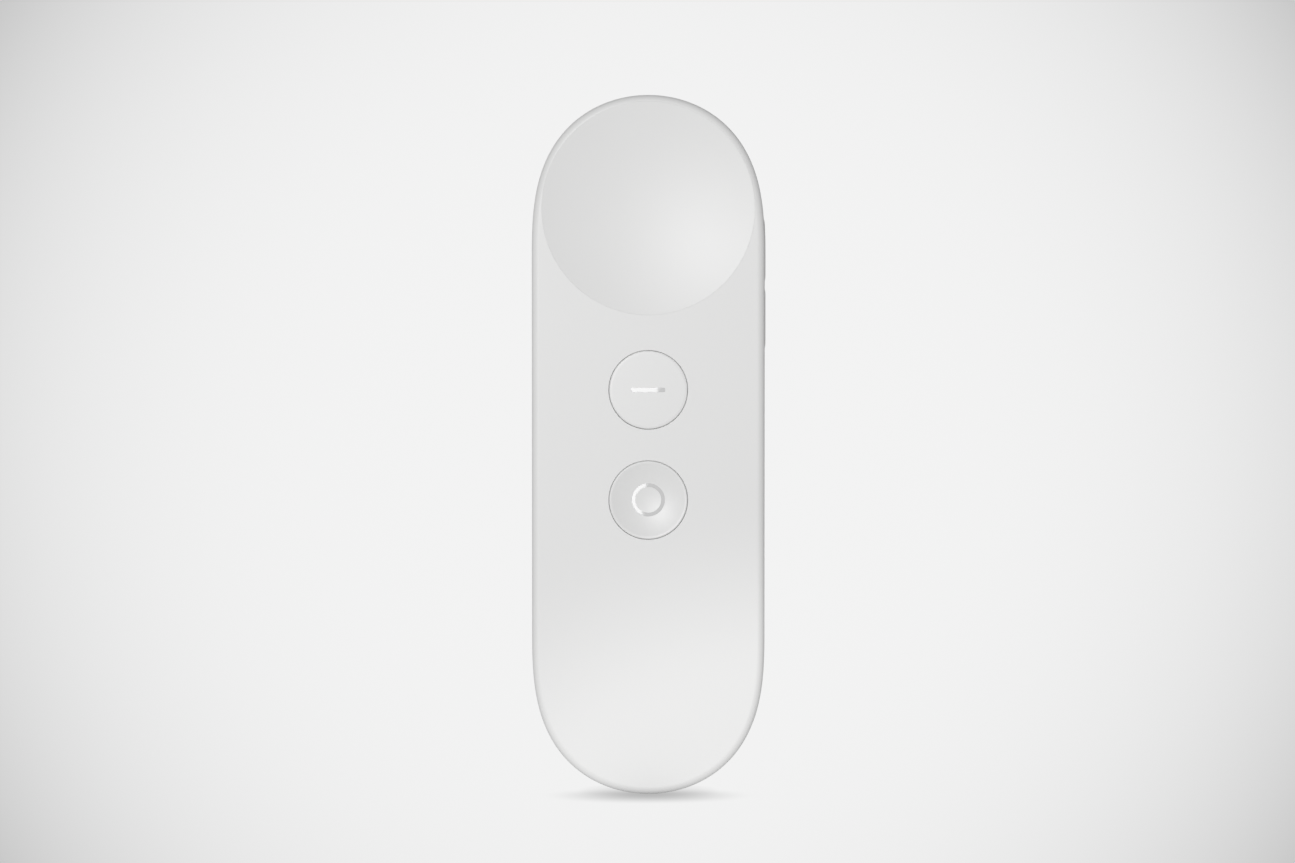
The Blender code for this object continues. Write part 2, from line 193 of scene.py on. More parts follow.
def case_shell(rings):
    """A ring round the case is extruded from place to place, and closed at both ends.

    Each place is (depth behind the button face, inset, share of the outline)."""
    bm = bmesh.new()
    turn = bm.verts.layers.float.new("turn")
    bmesh.ops.create_circle(bm, segments=CASE_SEGMENTS, radius=1.0)
    for vert in bm.verts:
        vert[turn] = math.atan2(vert.co.y, vert.co.x) + math.pi / CASE_SEGMENTS
    loop, verts = bm.edges[:], bm.verts[:]
    for number, (depth, inset, share) in enumerate(rings):
        if number:
            grown = bmesh.ops.extrude_edge_only(bm, edges=loop)["geom"]
            verts = [g for g in grown if isinstance(g, bmesh.types.BMVert)]
            loop = [g for g in grown if isinstance(g, bmesh.types.BMEdge) and g.is_boundary]
        for vert in verts:
            x, z = outline_point(vert[turn], inset, share)
            vert.co = (x, FACE_Y + depth, z)
        if number in (0, len(rings) - 1):
            bmesh.ops.edgeloop_fill(bm, edges=loop)
    bm.verts.layers.float.remove(turn)
    bmesh.ops.recalc_face_normals(bm, faces=bm.faces)
    return bm


def middle(node):
    """The point of the button face that is in front of a node's middle."""
    low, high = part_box(node)
    return Vector(((low.x + high.x) / 2, FACE_Y, (low.z + high.z) / 2))


def texture_group(name, inputs, outputs):
    """An empty shader group with its sockets, and its two end nodes."""
    group = bpy.data.node_groups.new(name, "ShaderNodeTree")
    for label, kind, value in inputs:
        socket = group.interface.new_socket(label, in_out="INPUT", socket_type=kind)
        if value is not None:
            socket.default_value = value
    for label, kind in outputs:
        group.interface.new_socket(label, in_out="OUTPUT", socket_type=kind)
    return group, group.nodes.new("NodeGroupInput"), group.nodes.new("NodeGroupOutput")


# Moulding grain: fine pits over a slow drift in shade, as a spark-eroded mould leaves them.
grain_group, grain_in, grain_out = texture_group(
    "moulding_grain",
    [("Vector", "NodeSocketVector", None), ("Grain", "NodeSocketFloat", 6000.0),
     ("Drift", "NodeSocketFloat", 60.0)],
    [("Height", "NodeSocketFloat"), ("Shade", "NodeSocketFloat")])
nodes, links = grain_group.nodes, grain_group.links
pits = nodes.new("ShaderNodeTexNoise")
pits.inputs["Detail"].default_value = 3.0
pits.inputs["Roughness"].default_value = 0.6
drift = nodes.new("ShaderNodeTexNoise")
drift.inputs["Detail"].default_value = 2.0
for source, target in (("Grain", pits), ("Drift", drift)):
    links.new(grain_in.outputs["Vector"], target.inputs["Vector"])
    links.new(grain_in.outputs[source], target.inputs["Scale"])
blend = nodes.new("ShaderNodeMix")
blend.inputs["Factor"].default_value = 0.35
links.new(drift.outputs["Fac"], blend.inputs["A"])
links.new(pits.outputs["Fac"], blend.inputs["B"])
links.new(pits.outputs["Fac"], grain_out.inputs["Height"])
links.new(blend.outputs["Result"], grain_out.inputs["Shade"])


def finish(name, texture, settings, dark, light, roughness, relief, **fixed):
    """A surface finish: a texture group sets its shade, its roughness and the height of its relief."""
    material = bpy.data.materials.new(name)
    material.use_nodes = True
    nodes, links = material.node_tree.nodes, material.node_tree.links
    shader = nodes["Principled BSDF"]
    place = nodes.new("ShaderNodeTexCoord")
    pattern = nodes.new("ShaderNodeGroup")
    pattern.node_tree = texture
    for label, value in settings.items():
        pattern.inputs[label].default_value = value
    links.new(place.outputs["Object"], pattern.inputs["Vector"])
    colour = nodes.new("ShaderNodeMix")
    colour.data_type = "RGBA"
    colour.inputs["A"].default_value = (*dark, 1.0)
    colour.inputs["B"].default_value = (*light, 1.0)
    links.new(pattern.outputs["Shade"], colour.inputs["Factor"])
    links.new(colour.outputs["Result"], shader.inputs["Base Color"])
    shine = nodes.new("ShaderNodeMapRange")
    shine.inputs["To Min"].default_value = roughness[0]
    shine.inputs["To Max"].default_value = roughness[1]
    links.new(pattern.outputs["Shade"], shine.inputs["Value"])
    links.new(shine.outputs["Result"], shader.inputs["Roughness"])
    bump = nodes.new("ShaderNodeBump")
    bump.inputs["Distance"].default_value = relief
    links.new(pattern.outputs["Height"], bump.inputs["Height"])
    links.new(bump.outputs["Normal"], shader.inputs["Normal"])
    for socket, value in fixed.items():
        shader.inputs[socket].default_value = value
    return material


# The white of the shells and the caps, from its darkest to its lightest.
WHITE = ((0.785, 0.785, 0.782), (0.815, 0.815, 0.812))
white_plastic = finish("white_plastic", grain_group, {"Grain": 6000.0, "Drift": 60.0}, *WHITE,
                       (0.38, 0.52), 0.002 * MM)

PAD_OPENING = 16.034 * MM
BUTTON_OPENING = 5.96 * MM
OPENING_EDGE = 0.08 * MM
OUTSIDE = 1.0 * MM
KEY_CLEARANCE = 0.10 * MM
PORT_CLEARANCE = 0.15 * MM
PORT_REACH = 3.0 * MM
PORT_FLAT = 0.05 * MM
PAD_STEPS = 192
SHELL_SHARP = 9

PAD = middle("touchpad_disc")
APP = middle("app_button")
HOME = middle("home_button")

rings = [(0, FACE_FILLET + FLAT_STRIP, 1)]
rings += [(down, FACE_FILLET - out, 1) for out, down in arc(FACE_FILLET, 14)]
rings += [(FACE_FILLET + FLAT_STRIP, 0, 1)]
rings += [(SEAM - SEAM_HALF - SEAM_EDGE + out, down, 1) for out, down in arc(SEAM_EDGE, 3)]
rings += [(SEAM - SEAM_HALF, SEAM_STEP, 1), (SEAM - STEP_DEPTH, SEAM_STEP, 1),
          (SEAM - STEP_DEPTH, WALL, 1), (WALL, WALL, 1)]
front = case_shell(rings)

# Bosses for the screws flare a little at the foot, have a bevelled top, and are bored for the thread.
# Two thin posts locate the guide plate of the buttons. All of them start inside the wall.
ROOT = -WALL + 0.4 * MM
BOSS_RADIUS = 2.2 * MM
BOSS_FOOT = 2.5 * MM
BOSS_TOP = -5.9 * MM
BOSS_BEVEL = 0.2 * MM
BORE_RADIUS = 0.95 * MM
BORE_END = -2.3 * MM
POST_SIDE = 8.0 * MM
POST_RADIUS = 0.9 * MM
POST_TOP = -3.0 * MM

inner_parts = []
for number in range(1, 5):
    profile = [(0, ROOT), (BOSS_FOOT, ROOT), (BOSS_FOOT, -WALL - 0.1 * MM),
               (BOSS_RADIUS, -WALL - 0.5 * MM), (BOSS_RADIUS, BOSS_TOP + BOSS_BEVEL),
               (BOSS_RADIUS - BOSS_BEVEL, BOSS_TOP), (BORE_RADIUS, BOSS_TOP), (BORE_RADIUS, BORE_END),
               (0, BORE_END)]
    inner_parts.append(spin_profile(profile, middle(f"board_screw_{number}"), steps=48))
for side in (-1, 1):
    spot = Vector((side * POST_SIDE, FACE_Y, (APP.z + HOME.z) / 2))
    profile = [(0, ROOT), (POST_RADIUS, ROOT), (POST_RADIUS, POST_TOP), (0, POST_TOP)]
    inner_parts.append(spin_profile(profile, spot, steps=32))
front = combine(front, inner_parts, "UNION")

# The openings go right through the wall, from outside it to inside it. The button openings have a
# softened edge, and the light pipe has a blind pocket that leaves a thin skin of the face.
INSIDE = -WALL - OUTSIDE
cuts = [spin_profile([(0, OUTSIDE), (PAD_OPENING, OUTSIDE), (PAD_OPENING, INSIDE), (0, INSIDE)], PAD,
                     steps=PAD_STEPS)]
for spot in (APP, HOME):
    profile = [(0, OUTSIDE), (BUTTON_OPENING + OPENING_EDGE, OUTSIDE)]
    profile += [(BUTTON_OPENING + OPENING_EDGE - out, -down) for out, down in arc(OPENING_EDGE, 4)]
    profile += [(BUTTON_OPENING, INSIDE), (0, INSIDE)]
    cuts.append(spin_profile(profile, spot))

KEY_SPAN = (2.45 * MM, 5.35 * MM)
UP_SPAN = (24.25 * MM, 34.6 * MM)
DOWN_SPAN = (14.15 * MM, 23.95 * MM)
KEY_SLOT_REACH = 3.0 * MM
KEY_SLOT_CORNER = 0.6 * MM
cuts.append(block(
    (HALF_WIDTH - KEY_SLOT_REACH, FACE_Y + KEY_SPAN[0] - KEY_CLEARANCE, DOWN_SPAN[0] - KEY_CLEARANCE),
    (HALF_WIDTH + KEY_SLOT_REACH, FACE_Y + KEY_SPAN[1] + KEY_CLEARANCE, UP_SPAN[1] + KEY_CLEARANCE),
    KEY_SLOT_CORNER, 6, Vector((1, 0, 0))))


def port_tool():
    """The port's shell with room round it, made longer so that it cuts right through the wall."""
    low, high = (corner.copy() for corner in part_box("usb_shell"))
    low += Vector((-PORT_CLEARANCE, -PORT_CLEARANCE, -PORT_REACH))
    high += Vector((PORT_CLEARANCE, PORT_CLEARANCE, 0))
    return block(low, high, (high.y - low.y) / 2 - PORT_FLAT, 12, Vector((0, 0, 1)))


cuts.append(port_tool())
POCKET_RADIUS = 1.4 * MM
POCKET_SKIN = 0.5 * MM
pocket = [(0, -POCKET_SKIN), (POCKET_RADIUS, -POCKET_SKIN), (POCKET_RADIUS, INSIDE), (0, INSIDE)]
cuts.append(spin_profile(pocket, middle("light_pipe"), steps=48))
front = combine(front, cuts)
add_piece("front_shell", front, "case", white_plastic, "front_case", SHELL_SHARP)

# The back's cross-section is a full curve from the end of the side band to the flat land.
back_curve = []
for step in range(BACK_STEPS + 1):
    turn = math.radians(90) * (1 - step / BACK_STEPS)
    back_curve.append((math.sin(turn) ** (2 / BACK_POWER),
                       LAND + (1 - LAND) * max(math.cos(turn), 0.0) ** (2 / BACK_POWER)))
rings = [(DEPTH, 0, LAND * LAND_RING)]
rings += [(BAND_END + (DEPTH - BAND_END) * rise, 0, share) for rise, share in back_curve]
rings += [(SEAM + SEAM_HALF + SEAM_EDGE - out, down, 1) for out, down in arc(SEAM_EDGE, 3)]
LIP_GAP = 0.1 * MM
lip = SEAM_STEP + LIP_GAP
lip_end = SEAM - STEP_DEPTH + LIP_GAP
rings += [(SEAM + SEAM_HALF, lip, 1), (lip_end + LIP_GAP, lip, 1), (lip_end, lip + LIP_GAP, 1),
          (lip_end, WALL, 1)]
rings += [(BAND_END + (DEPTH - WALL - BAND_END) * rise, WALL, share)
          for rise, share in reversed(back_curve)]
rear = case_shell(rings)

# Each tongue has a root in the back wall and a thinner blade that reaches into the front shell.
TONGUE_HEIGHTS = (-4.0 * MM, -26.0 * MM)
TONGUE_HALF = 3.0 * MM
TONGUE_BACK = HALF_WIDTH - WALL - 1.1 * MM
ROOT_PART = (HALF_WIDTH - WALL + 0.5 * MM, 7.6 * MM, 10.0 * MM)
BLADE_PART = (HALF_WIDTH - WALL - 0.3 * MM, 4.6 * MM, 9.0 * MM)
tongues = []
for side in (-1, 1):
    for height in TONGUE_HEIGHTS:
        for reach, start, end in (ROOT_PART, BLADE_PART):
            near, far = sorted((side * reach, side * TONGUE_BACK))
            tongues.append(block((near, FACE_Y + start, height - TONGUE_HALF),
                                 (far, FACE_Y + end, height + TONGUE_HALF)))
rear = combine(rear, tongues, "UNION")
rear = combine(rear, [port_tool()])
add_piece("rear_shell", rear, "case", white_plastic, "rear_case", 12)


# ---- Touchpad ----
# A dished disc of the same white plastic, its surface a little finer, fills its opening with hardly
# a line round it. It is clipped to a carrier plate, and all of it presses in as one.
PAD_RADIUS = 16.028 * MM
PAD_DISH = 1.6 * MM
PAD_EDGE = 0.01 * MM
PAD_RIM = 1.2 * MM
PAD_STEP_RADIUS = 14.0 * MM
PAD_BACK = 2.3 * MM
touch_plastic = finish("touch_plastic", grain_group, {"Grain": 9000.0, "Drift": 60.0}, *WHITE,
                       (0.34, 0.46), 0.0015 * MM)
profile = crown(PAD_RADIUS - PAD_EDGE, -PAD_DISH, 0, 32)
profile += [(PAD_RADIUS, -PAD_EDGE), (PAD_RADIUS, -PAD_RIM), (PAD_STEP_RADIUS, -PAD_RIM),
            (PAD_STEP_RADIUS, -PAD_BACK), (0, -PAD_BACK)]
add_piece("touchpad_surface", spin_profile(profile, PAD, steps=PAD_STEPS), "touchpad",
          touch_plastic, "touchpad_disc")


# ---- Face buttons ----
# Two round moulded caps, the upper one almost flat and the lower one dished so that a thumb finds it.
# A flange holds each behind the face, and a stem reaches its switch. Each has an inlaid mark, a bar
# or a ring, of grey polished plastic.
BUTTON_RADIUS = 5.925 * MM
BUTTON_EDGE = 0.25 * MM
HOME_DISH = 1.0 * MM
APP_DOME = 0.03 * MM
CAP_SINK = 0.02 * MM
SKIRT_END = 1.8 * MM
FLANGE_RADIUS = 7.0 * MM
FLANGE_END = 2.5 * MM
STEM_RADIUS = 1.9 * MM
STEM_END = 3.9 * MM
INLAY_GAP = 0.005 * MM
MARK_WIDTH = 0.65 * MM
MARK_LENGTH = 5.07 * MM
RING_INNER = 1.95 * MM
RING_OUTER = 2.5 * MM
RING_TOP = -0.89 * MM
RING_FLOOR = -1.3 * MM
BAR_TOP = 0.04 * MM
BAR_FLOOR = 0.3 * MM
BAR_CORNER = 0.25
cap_plastic = finish("cap_plastic", grain_group, {"Grain": 9000.0, "Drift": 60.0}, *WHITE,
                     (0.32, 0.44), 0.0015 * MM)
mark_gloss = finish("mark_gloss", grain_group, {"Grain": 900.0, "Drift": 200.0}, (0.65, 0.65, 0.65),
                    (0.68, 0.68, 0.68), (0.01, 0.02), 0.0, IOR=2.4)


def button_profile(centre, edge):
    """A cap from the middle of its top, over its edge and its flange, to the end of its stem."""
    flat = BUTTON_RADIUS - BUTTON_EDGE
    profile = crown(flat, centre, edge, 20)
    profile += [(flat + out, edge - down) for out, down in arc(BUTTON_EDGE, 5)[1:]]
    return profile + [(BUTTON_RADIUS, -SKIRT_END), (FLANGE_RADIUS, -SKIRT_END),
                      (FLANGE_RADIUS, -FLANGE_END), (STEM_RADIUS, -FLANGE_END),
                      (STEM_RADIUS, -STEM_END), (0, -STEM_END)]


app = spin_profile(button_profile(-CAP_SINK, -CAP_SINK - APP_DOME), APP)
home = spin_profile(button_profile(-HOME_DISH, -CAP_SINK), HOME)


def bar(length, width, top, bottom):
    """A flat bar with rounded corners across the middle of the upper button, at two depths."""
    return block((APP.x - length / 2, FACE_Y + top, APP.z - width / 2),
                 (APP.x + length / 2, FACE_Y + bottom, APP.z + width / 2),
                 width * BAR_CORNER, 5, Vector((0, 1, 0)))


def ring(inner, outer, top, bottom):
    """A flat ring round the middle of the lower button, between two heights."""
    return spin_profile([(inner, top), (outer, top), (outer, bottom), (inner, bottom), (inner, top)],
                        HOME, steps=96)


app = combine(app, [bar(MARK_LENGTH, MARK_WIDTH, -OUTSIDE, BAR_FLOOR)])
home = combine(home, [ring(RING_INNER, RING_OUTER, OUTSIDE, RING_FLOOR)])
add_piece("app_cap", app, "app_button", cap_plastic, "app_button")
add_piece("home_cap", home, "home_button", cap_plastic, "home_button")
add_piece("app_mark", bar(MARK_LENGTH - 2 * INLAY_GAP, MARK_WIDTH - 2 * INLAY_GAP, BAR_TOP,
                          BAR_FLOOR - 0.001 * MM), "app_button", mark_gloss)
add_piece("home_mark", ring(RING_INNER + INLAY_GAP, RING_OUTER - INLAY_GAP, RING_TOP,
                            RING_FLOOR + 0.001 * MM), "home_button", mark_gloss)


# ---- Volume keys ----
# Two long keys stand a little proud of the right side. Each follows the curve of the case, is held
# behind the wall by a flange, and presses a side switch with a nib.
KEY_RISE = 0.14 * MM
KEY_ROLL = 1.2 * MM
ROLL_DROP = 0.3 * MM
KEY_EDGE = 0.25 * MM
KEY_BACK = 2.2 * MM
KEY_CORNER = 0.5 * MM
ROLLED_PART = 1.0 * MM
KEY_SLICES = 24
FLANGE_BACK = 2.45 * MM
FLANGE_FRONT = 1.85 * MM
FLANGE_LIP = 0.5 * MM
FLANGE_SIDE = 0.4 * MM
FLANGE_OVER = 0.7 * MM
NIB_REACH = (14.6 * MM, 15.3 * MM)
NIB_SPAN = (4.6 * MM, 5.6 * MM)
NIB_HALF = 1.2 * MM


def half_width(z):
    """Half the width of the case at a height."""
    end = max(abs(z) - STRAIGHT, 0.0)
    return HALF_WIDTH * math.sqrt(1 - (end / END_LENGTH) ** END_POWER)


def follow_case(bm, span, roll):
    """Slice a straight strip across, bend it to the case side and roll its outer ends off."""
    low, high = span
    for step in range(1, KEY_SLICES):
        height = low + (high - low) * step / KEY_SLICES
        bmesh.ops.bisect_plane(bm, geom=bm.verts[:] + bm.edges[:] + bm.faces[:], dist=0.0,
                               plane_co=(0, 0, height), plane_no=(0, 0, 1))
    for vert in bm.verts:
        near = max(min(vert.co.z - low, high - vert.co.z, KEY_ROLL), 0) / KEY_ROLL
        if roll and vert.co.x > -ROLLED_PART:
            vert.co.x -= ROLL_DROP * (1 - near) ** 2
        vert.co.x += half_width(vert.co.z)
    return bm


for direction, span, flange_span in (
        ("up", UP_SPAN, (UP_SPAN[0], UP_SPAN[1] + FLANGE_OVER)),
        ("down", DOWN_SPAN, (DOWN_SPAN[0] - FLANGE_OVER, DOWN_SPAN[1]))):
    key = block((-KEY_BACK, FACE_Y + KEY_SPAN[0], span[0]), (KEY_RISE, FACE_Y + KEY_SPAN[1], span[1]),
                KEY_CORNER, 5, Vector((1, 0, 0)))
    rim = [e for e in key.edges if all(v.co.x > KEY_RISE - 0.01 * MM for v in e.verts)]
    bmesh.ops.bevel(key, geom=rim, offset=KEY_EDGE, offset_type="OFFSET", affect="EDGES", segments=4,
                    profile=0.5, material=-1)
    key = follow_case(key, span, True)
    flange = block((-FLANGE_BACK, FACE_Y + KEY_SPAN[0] - FLANGE_LIP, flange_span[0]),
                   (-FLANGE_FRONT, FACE_Y + KEY_SPAN[1] + FLANGE_SIDE, flange_span[1]))
    flange = follow_case(flange, flange_span, False)
    height = (span[0] + span[1]) / 2
    nib = block((NIB_REACH[0], FACE_Y + NIB_SPAN[0], height - NIB_HALF),
                (NIB_REACH[1], FACE_Y + NIB_SPAN[1], height + NIB_HALF))
    key = combine(key, [flange, nib], "UNION")
    add_piece(f"volume_{direction}_cap", key, f"volume_{direction}", white_plastic,
              f"volume_{direction}_key")


# ---- Charging port ----
# The port is a folded and drawn steel shell, closed at its inner end, round a flat black tongue
# that carries twelve plated contacts on each side.
PORT_WALL = 0.3 * MM
PORT_MOUTH = 1.0 * MM
CONTACT_COUNT = 12
CONTACT_SHIFT = 1.0 * MM
CONTACT_PITCH = 0.5 * MM
CONTACT_SIZE = Vector((0.25, 0.05, 3.6)) * MM

# Brushing: fine lines that run along the longer side of a stretch.
brush_group, brush_in, brush_out = texture_group(
    "brushing", [("Vector", "NodeSocketVector", None), ("Stretch", "NodeSocketVector", None)],
    [("Height", "NodeSocketFloat"), ("Shade", "NodeSocketFloat")])
nodes, links = brush_group.nodes, brush_group.links
stretched = nodes.new("ShaderNodeVectorMath")
stretched.operation = "MULTIPLY"
lines = nodes.new("ShaderNodeTexNoise")
lines.inputs["Scale"].default_value = 1.0
lines.inputs["Detail"].default_value = 4.0
links.new(brush_in.outputs["Vector"], stretched.inputs[0])
links.new(brush_in.outputs["Stretch"], stretched.inputs[1])
links.new(stretched.outputs[0], lines.inputs["Vector"])
links.new(lines.outputs["Fac"], brush_out.inputs["Height"])
links.new(lines.outputs["Fac"], brush_out.inputs["Shade"])

drawn_steel = finish("drawn_steel", brush_group, {"Stretch": (9000, 9000, 600)}, (0.52, 0.52, 0.53),
                     (0.68, 0.68, 0.69), (0.22, 0.38), 0.001 * MM, Metallic=1.0)
plated_contact = finish("plated_contact", brush_group, {"Stretch": (9000, 9000, 600)},
                        (0.60, 0.58, 0.52), (0.74, 0.72, 0.66), (0.18, 0.30), 0.001 * MM, Metallic=1.0)
black_plastic = finish("black_plastic", grain_group, {"Grain": 7000.0, "Drift": 300.0},
                       (0.014, 0.014, 0.015), (0.028, 0.028, 0.030), (0.38, 0.55), 0.002 * MM)


def dress(node, material):
    """Give a CAD node, whose shape is kept, its finish."""
    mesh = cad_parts[node].data
    mesh.materials.clear()
    mesh.materials.append(material)


low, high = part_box("usb_shell")
wall = Vector((PORT_WALL, PORT_WALL, 0))
corner = (high.y - low.y) / 2 - PORT_FLAT
port = block(low, high, corner, 12, Vector((0, 0, 1)))
hollow = block(low + wall - Vector((0, 0, PORT_MOUTH)), high - wall - Vector((0, 0, PORT_WALL)),
               corner - PORT_WALL, 12, Vector((0, 0, 1)))
add_piece("port_shell", combine(port, [hollow]), "case", drawn_steel, "usb_shell")

low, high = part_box("usb_tongue")
contacts = []
for surface in (low.y, high.y):
    for number in range(CONTACT_COUNT):
        across = (number - (CONTACT_COUNT - 1) / 2) * CONTACT_PITCH
        centre = Vector((across, surface, (low.z + high.z) / 2 - CONTACT_SHIFT))
        contacts.append(block(centre - CONTACT_SIZE / 2, centre + CONTACT_SIZE / 2))
add_piece("port_contacts", gather(contacts), "case", plated_contact)
dress("usb_tongue", black_plastic)


# ---- Circuit boards and flex ----
# The main board and the touch board are glass laminate under a green solder mask, with copper
# tracks and vias that show through it. An amber film with tracks of its own joins the two.
board_group, board_in, board_out = texture_group(
    "copper_tracks", [("Vector", "NodeSocketVector", None), ("Pitch", "NodeSocketFloat", 0.5 * MM)],
    [("Height", "NodeSocketFloat"), ("Shade", "NodeSocketFloat")])
nodes, links = board_group.nodes, board_group.links


def math_node(operation, first, second=None, clamp=False):
    """A sum on one or two numbers or sockets, in the node tree that is being made."""
    node = nodes.new("ShaderNodeMath")
    node.operation = operation
    node.use_clamp = clamp
    for socket, value in zip(node.inputs, (first, second)):
        if isinstance(value, (int, float)):
            socket.default_value = value
        elif value is not None:
            links.new(value, socket)
    return node.outputs[0]


where = nodes.new("ShaderNodeSeparateXYZ")
links.new(board_in.outputs["Vector"], where.inputs[0])
blocks = nodes.new("ShaderNodeTexVoronoi")
blocks.distance = "CHEBYCHEV"
blocks.inputs["Scale"].default_value = 190.0
links.new(board_in.outputs["Vector"], blocks.inputs["Vector"])
turned = math_node("GREATER_THAN", blocks.outputs["Color"], 0.5)
runs = []
for axis in ("X", "Z"):
    phase = math_node("DIVIDE", where.outputs[axis], board_in.outputs["Pitch"])
    runs.append(math_node("LESS_THAN", math_node("FRACT", phase), 0.38))
choice = nodes.new("ShaderNodeMix")
links.new(turned, choice.inputs["Factor"])
links.new(runs[0], choice.inputs["A"])
links.new(runs[1], choice.inputs["B"])
vias = nodes.new("ShaderNodeTexVoronoi")
vias.inputs["Scale"].default_value = 420.0
links.new(board_in.outputs["Vector"], vias.inputs["Vector"])
via = math_node("LESS_THAN", vias.outputs["Distance"], 0.16)
tracks = math_node("MAXIMUM", math_node("MULTIPLY", choice.outputs["Result"], 0.55), via)
links.new(tracks, board_out.inputs["Shade"])
links.new(tracks, board_out.inputs["Height"])

solder_mask = finish("solder_mask", board_group, {"Pitch": 0.5 * MM}, (0.008, 0.085, 0.040),
                     (0.055, 0.210, 0.110), (0.30, 0.42), 0.02 * MM)
flex_film = finish("flex_film", board_group, {"Pitch": 0.8 * MM}, (0.36, 0.14, 0.02),
                   (0.58, 0.30, 0.10), (0.28, 0.36), 0.01 * MM)
dress("main_board", solder_mask)
dress("touch_sensor_board", solder_mask)
dress("touch_flex", flex_film)


# ---- Chips ----
# Four moulded epoxy packages soldered to the back of the main board: matt black, each with a small
# pressed dot at one corner that shows which way round it goes.
DOT_INSET = 0.55 * MM
DOT_RADIUS = 0.18 * MM
dot_group, dot_in, dot_out = texture_group(
    "corner_dot", [("Vector", "NodeSocketVector", None), ("Corner", "NodeSocketVector", None)],
    [("Height", "NodeSocketFloat"), ("Shade", "NodeSocketFloat")])
nodes, links = dot_group.nodes, dot_group.links
away = nodes.new("ShaderNodeVectorMath")
away.operation = "DISTANCE"
links.new(dot_in.outputs["Vector"], away.inputs[0])
links.new(dot_in.outputs["Corner"], away.inputs[1])
speckle = nodes.new("ShaderNodeTexNoise")
speckle.inputs["Scale"].default_value = 9000.0
links.new(dot_in.outputs["Vector"], speckle.inputs["Vector"])
dot = math_node("LESS_THAN", away.outputs["Value"], DOT_RADIUS)
links.new(math_node("ADD", math_node("MULTIPLY", speckle.outputs["Fac"], 0.4), dot),
          dot_out.inputs["Shade"])
links.new(math_node("SUBTRACT", math_node("MULTIPLY", speckle.outputs["Fac"], 0.1), dot),
          dot_out.inputs["Height"])
for node in ("radio_chip", "motion_sensor", "magnetometer", "charger_chip"):
    low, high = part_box(node)
    corner = (low.x + DOT_INSET, high.y, high.z - DOT_INSET)
    dress(node, finish(node + "_epoxy", dot_group, {"Corner": corner}, (0.012, 0.012, 0.014),
                       (0.060, 0.060, 0.064), (0.50, 0.66), 0.02 * MM))


# ---- Steel parts ----
# The radio's shield can, the crystal, the antenna strip and the switch plungers are pressed steel.
# Four small screws with a cross recess hold the board to the bosses of the front shell.
sheet_steel = finish("sheet_steel", brush_group, {"Stretch": (700, 9000, 9000)}, (0.55, 0.55, 0.56),
                     (0.70, 0.70, 0.71), (0.24, 0.40), 0.001 * MM, Metallic=1.0)
for node in ("shield_can", "crystal", "antenna", "touch_plunger", "app_plunger", "home_plunger",
             "volume_up_plunger", "volume_down_plunger"):
    dress(node, sheet_steel)

SCREW_HEAD = 1.5 * MM
SCREW_SHANK = 0.65 * MM
HEAD_HEIGHT = 0.9 * MM
HEAD_EDGE = 0.3 * MM
SCREW_POINT = 0.4 * MM
RECESS = Vector((0.80, 0.45, 0.16)) * MM
for number in range(1, 5):
    low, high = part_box(f"board_screw_{number}")
    top = Vector(((low.x + high.x) / 2, high.y, (low.z + high.z) / 2))
    length = high.y - low.y
    profile = [(0, 0), (SCREW_HEAD - HEAD_EDGE, 0)]
    profile += [(SCREW_HEAD - HEAD_EDGE + out, -down) for out, down in arc(HEAD_EDGE, 4)[1:]]
    profile += [(SCREW_HEAD, -HEAD_HEIGHT), (SCREW_SHANK, -HEAD_HEIGHT),
                (SCREW_SHANK, SCREW_POINT - length), (0, -length)]
    screw = spin_profile(profile, top, -FACING, 32)
    slots = [block(top - Vector(arm), top + Vector(arm)) for arm in (RECESS.xyz, RECESS.zyx)]
    add_piece(f"screw_{number}", combine(screw, slots), "case", drawn_steel,
              f"board_screw_{number}")


# ---- Frame pieces and switches ----
# The touchpad carrier, the button guide and the battery tray are moulded in grey glass-filled
# plastic. The switches and the flex connector have black housings.
frame_plastic = finish("frame_plastic", grain_group, {"Grain": 2500.0, "Drift": 500.0},
                       (0.17, 0.17, 0.18), (0.27, 0.27, 0.28), (0.45, 0.62), 0.005 * MM)
for node in ("touchpad_carrier", "button_guide", "battery_tray"):
    dress(node, frame_plastic)
for node in ("touch_switch", "app_switch", "home_switch", "volume_up_switch", "volume_down_switch",
             "flex_connector"):
    dress(node, black_plastic)


# ---- Status light ----
# A clear plastic pipe carries the light of a small lamp on the board up to the thin skin that is
# left of the front shell, so that nothing shows on the face while it is off.
clear_plastic = finish("clear_plastic", grain_group, {"Grain": 4000.0, "Drift": 400.0},
                       (0.86, 0.88, 0.89), (0.93, 0.94, 0.95), (0.08, 0.16), 0.0005 * MM, IOR=1.49)
clear_plastic.node_tree.nodes["Principled BSDF"].inputs["Transmission Weight"].default_value = 0.85
dress("status_led", clear_plastic)
dress("light_pipe", clear_plastic)


